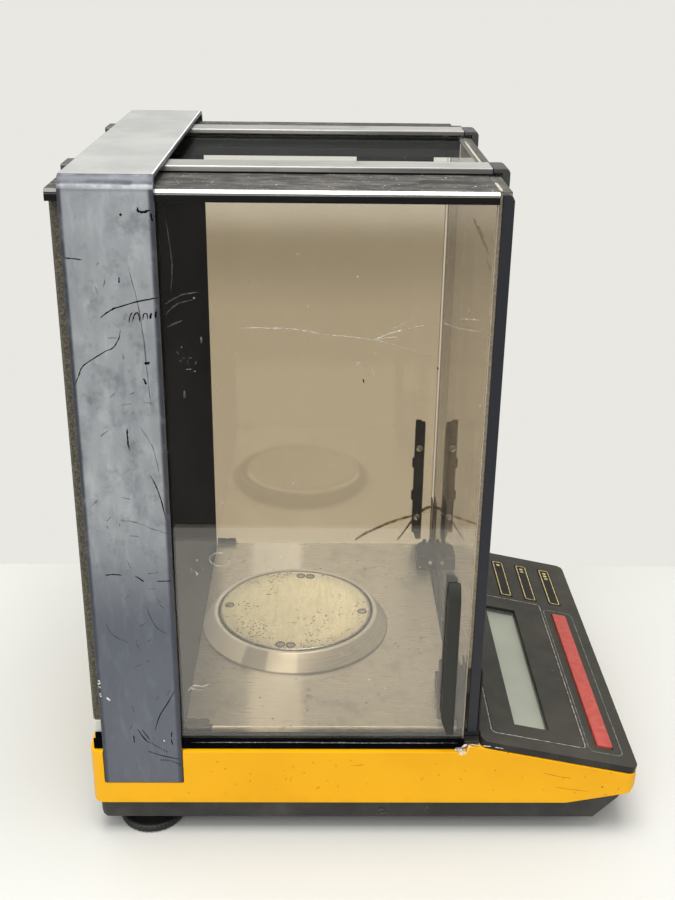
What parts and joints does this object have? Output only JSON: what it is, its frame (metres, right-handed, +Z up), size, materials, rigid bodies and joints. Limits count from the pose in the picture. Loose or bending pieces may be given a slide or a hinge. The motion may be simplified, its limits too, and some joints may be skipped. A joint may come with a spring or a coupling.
{
  "type": "analytical balance",
  "caption": "Bench analytical balance with a glass draft shield, sliding side doors and roof lid, round weighing pan with draft ring, and a sloping panel with display, keys and tare bar.",
  "frame": {"origin": "on the surface the balance stands on, under the middle of its bounding box", "axes": "+X towards the user's right, -Y towards the user and the display, +Z up"},
  "size_m": [0.193, 0.25, 0.3038],
  "materials": {
    "aluminium": "machined",
    "black_metal": "satin black, dusty",
    "black_plastic": "moulded, satin",
    "board_green": "solder mask",
    "clear_glass": "clear",
    "copper": "lacquered winding wire",
    "key_brown": "matte with a light outline",
    "lcd_grey": "grey-green display glass",
    "nylon": "natural",
    "pan_metal": "blasted, matte",
    "panel_black": "matte, fine grain",
    "rail_grey": "brushed, dull",
    "red_plastic": "satin red",
    "rubber": "moulded",
    "slate_plastic": "satin",
    "stainless": "brushed",
    "steel": "plain",
    "strap_paint": "worn metallic paint with scratches",
    "textured_brown": "textured paint",
    "tinted_glass": "bronze tint",
    "yellow_paint": "semi-gloss paint, chipped along its edges"
  },
  "bodies": {
    "housing": {"base_housing": "yellow_paint", "bottom_pan": "black_plastic", "column_strap": "strap_paint", "control_panel": "panel_black", "corner_block_left": "black_plastic", "corner_block_right": "black_plastic", "data_socket": "steel", "display_bezel": "panel_black", "display_module": "lcd_grey", "display_window": "clear_glass", "floor_plate": "stainless", "front_foot_left": "rubber", "front_foot_right": "rubber", "front_pane": "tinted_glass", "fuse_holder": "black_plastic", "guide_end_left": "nylon", "guide_end_right": "nylon", "key_board": "board_green", "lower_guide_left": "black_metal", "lower_guide_right": "black_metal", "magnet_pot": "steel", "main_board": "board_green", "pane_clamp_left": "black_plastic", "pane_clamp_right": "black_plastic", "pane_edge_left": "slate_plastic", "pane_edge_right": "slate_plastic", "pane_sill": "black_plastic", "power_inlet": "black_plastic", "rail_cap_left": "black_plastic", "rail_cap_right": "black_plastic", "rail_left": "rail_grey", "rail_right": "rail_grey", "rear_cover": "textured_brown", "rear_wall": "black_metal", "top_guide_left": "black_metal", "top_guide_right": "black_metal", "transformer": "steel", "weigh_cell_frame": "aluminium"},
    "left_door": {"door_left_glass": "tinted_glass", "door_left_pull": "slate_plastic", "door_left_strip": "black_plastic", "door_left_screw_lower": "steel", "door_left_screw_upper": "steel"},
    "right_door": {"door_right_glass": "tinted_glass", "door_right_pull": "slate_plastic", "door_right_strip": "black_plastic", "door_right_screw_lower": "steel", "door_right_screw_upper": "steel"},
    "lid": {"top_lid": "clear_glass"},
    "carrier": {"pan_carrier": "aluminium"},
    "pan": {"weighing_pan": "pan_metal"},
    "ring": {"draft_ring": "stainless"},
    "lever": {"balance_lever": "aluminium", "force_coil": "copper"},
    "left_foot": {"levelling_foot_left": "black_plastic"},
    "right_foot": {"levelling_foot_right": "black_plastic"},
    "key_1": {"function_key_1": "key_brown"},
    "key_2": {"function_key_2": "key_brown"},
    "key_3": {"function_key_3": "key_brown"},
    "tare": {"tare_bar": "red_plastic"}
  },
  "joints": [
    {"name": "left_door_slide", "type": "slide", "parent": "housing", "child": "left_door", "axis": [0, 1, 0], "range_m": [0, 0.112]},
    {"name": "right_door_slide", "type": "slide", "parent": "housing", "child": "right_door", "axis": [0, 1, 0], "range_m": [0, 0.112]},
    {"name": "top_lid_slide", "type": "slide", "parent": "housing", "child": "lid", "axis": [0, 1, 0], "range_m": [0, 0.118]},
    {"name": "pan_carrier_travel", "type": "slide", "parent": "housing", "child": "carrier", "axis": [0, 0, -1], "range_m": [0, 0.0005], "stiffness_N_per_m": 8000, "springref_m": -0.0003},
    {"name": "lever_turn", "type": "hinge", "parent": "housing", "child": "lever", "pos_m": [0, 0.013, 0.0266], "axis": [1, 0, 0], "range_deg": [-1.5, 0]},
    {"name": "pan_lift_off", "type": "slide", "parent": "carrier", "child": "pan", "axis": [0, 0, 1], "range_m": [0, 0.04]},
    {"name": "ring_lift_off", "type": "slide", "parent": "housing", "child": "ring", "axis": [0, 0, 1], "range_m": [0, 0.03]},
    {"name": "left_foot_turn", "type": "hinge", "parent": "housing", "child": "left_foot", "pos_m": [-0.0795, 0.1004, 0], "axis": [0, 0, 1], "range_deg": [-720, 720]},
    {"name": "right_foot_turn", "type": "hinge", "parent": "housing", "child": "right_foot", "pos_m": [0.0795, 0.1004, 0], "axis": [0, 0, 1], "range_deg": [-720, 720]},
    {"name": "key_1_press", "type": "slide", "parent": "housing", "child": "key_1", "axis": [0, 0.2079, -0.9781], "range_m": [0, 0.0006], "stiffness_N_per_m": 1200, "springref_m": -0.0003},
    {"name": "key_2_press", "type": "slide", "parent": "housing", "child": "key_2", "axis": [0, 0.2079, -0.9781], "range_m": [0, 0.0006], "stiffness_N_per_m": 1200, "springref_m": -0.0003},
    {"name": "key_3_press", "type": "slide", "parent": "housing", "child": "key_3", "axis": [0, 0.2079, -0.9781], "range_m": [0, 0.0006], "stiffness_N_per_m": 1200, "springref_m": -0.0003},
    {"name": "tare_bar_press", "type": "slide", "parent": "housing", "child": "tare", "axis": [0, 0.2079, -0.9781], "range_m": [0, 0.001], "stiffness_N_per_m": 1200, "springref_m": -0.0004}
  ],
  "couplings": [
    {"joint": "lever_turn", "follows": "pan_carrier_travel", "rad_per_m": -47.619}
  ]
}
